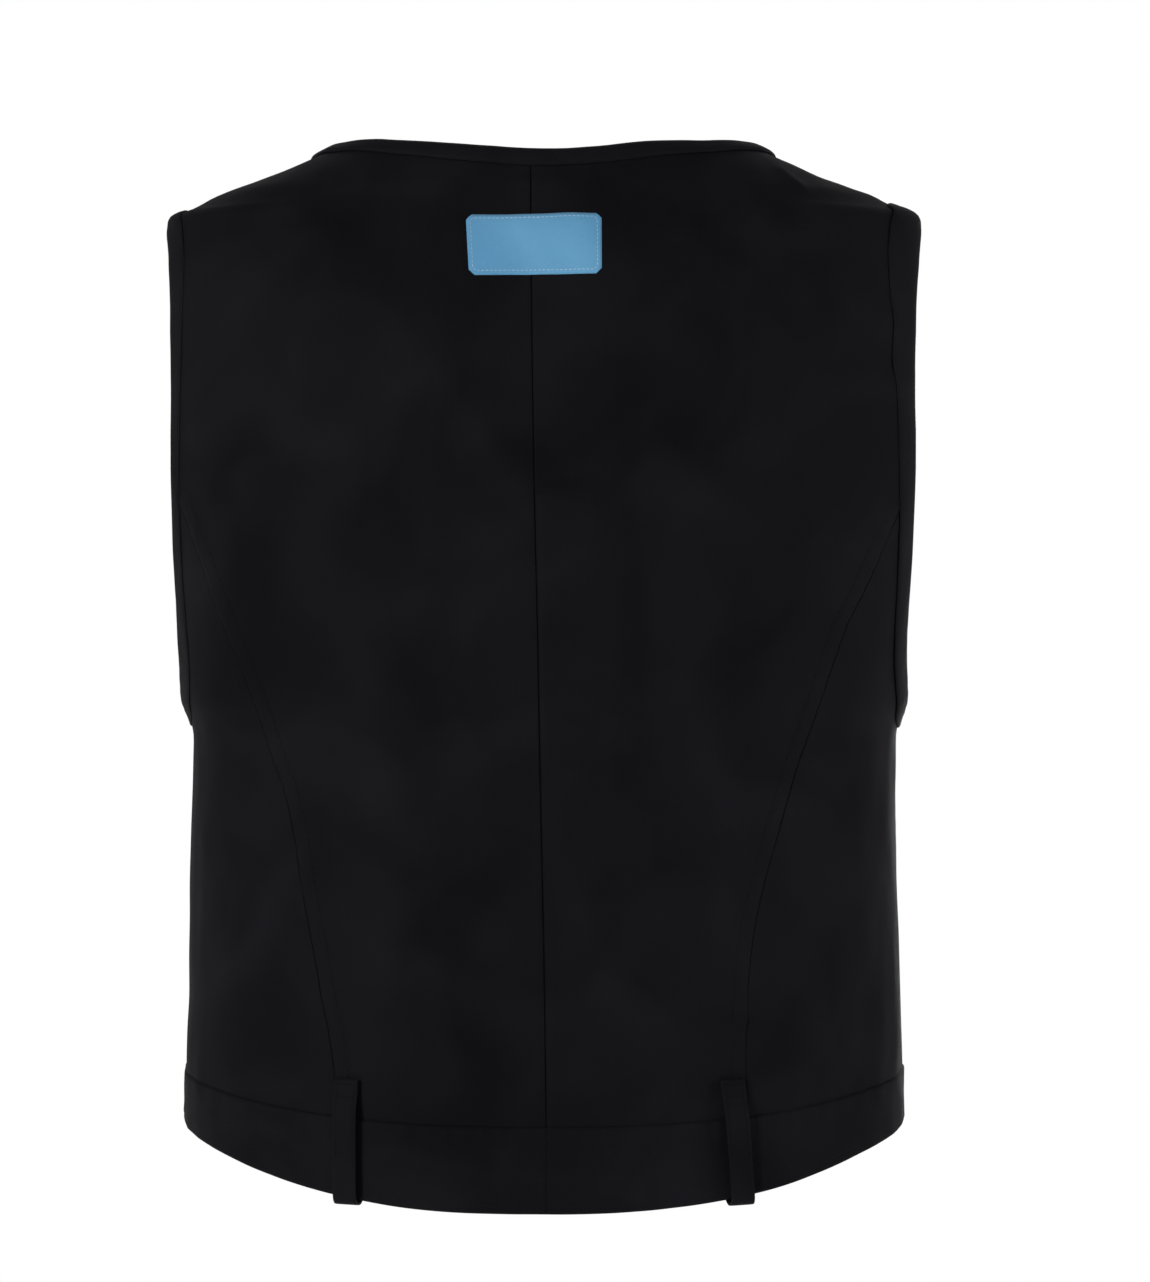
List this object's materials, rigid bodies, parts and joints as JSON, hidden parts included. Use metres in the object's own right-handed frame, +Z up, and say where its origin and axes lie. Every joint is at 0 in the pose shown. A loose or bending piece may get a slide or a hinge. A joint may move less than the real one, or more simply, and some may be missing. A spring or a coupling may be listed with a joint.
{
  "type": "lead apron",
  "caption": "Sleeveless vest-type radiation protection apron: wrap-over front that opens at the side seams, bound armholes, belt loops at the back.",
  "frame": {"origin": "shoulder seat: midway between the two shoulders, level with their tops, where the vest hangs", "axes": "+X to the wearer's right, +Y to the wearer's front, +Z up"},
  "size_m": [0.4036, 0.261, 0.5515],
  "materials": {
    "shell_cloth": "matt close-woven nylon",
    "binding_cloth": "matt folded binding",
    "lining_cloth": "smooth coated lining",
    "shield_rubber": "lead-loaded flexible sheet",
    "pad_foam": "soft closed-cell foam",
    "hook_tape": "stiff hook tape",
    "loop_tape": "brushed loop tape",
    "label_cloth": "woven label, left blank"
  },
  "bodies": {
    "back": {"back_panel_left": "shell_cloth", "back_panel_right": "shell_cloth", "side_back_panel_left": "shell_cloth", "side_back_panel_right": "shell_cloth", "neck_binding": "binding_cloth", "armhole_binding_back_left": "binding_cloth", "armhole_binding_back_right": "binding_cloth", "hem_band_back": "binding_cloth", "belt_loop_left": "binding_cloth", "belt_loop_right": "binding_cloth", "back_lining": "lining_cloth", "back_ply_outer": "shield_rubber", "back_ply_inner": "shield_rubber", "shoulder_pad_left": "pad_foam", "shoulder_pad_right": "pad_foam", "label_patch": "label_cloth"},
    "front_right": {"front_panel_right": "shell_cloth", "front_edge_binding_right": "binding_cloth", "front_lining_right": "lining_cloth", "front_ply_outer_right": "shield_rubber", "front_ply_inner_right": "shield_rubber", "armhole_binding_front_right": "binding_cloth", "hem_band_front_right": "binding_cloth", "hook_strip": "hook_tape"},
    "front_left": {"front_panel_left": "shell_cloth", "front_edge_binding_left": "binding_cloth", "front_lining_left": "lining_cloth", "front_ply_outer_left": "shield_rubber", "front_ply_inner_left": "shield_rubber", "armhole_binding_front_left": "binding_cloth", "hem_band_front_left": "binding_cloth", "loop_strip": "loop_tape"}
  },
  "joints": [
    {"name": "front_right_opening", "type": "hinge", "parent": "back", "child": "front_right", "pos_m": [0.1955, 0, 0], "axis": [0, 0, -1], "range_deg": [0, 75]},
    {"name": "front_left_opening", "type": "hinge", "parent": "back", "child": "front_left", "pos_m": [-0.1955, 0, 0], "axis": [0, 0, 1], "range_deg": [0, 33]}
  ],
  "couplings": [
    {"joint": "front_left_opening", "follows": "front_right_opening", "ratio": 0.43}
  ]
}
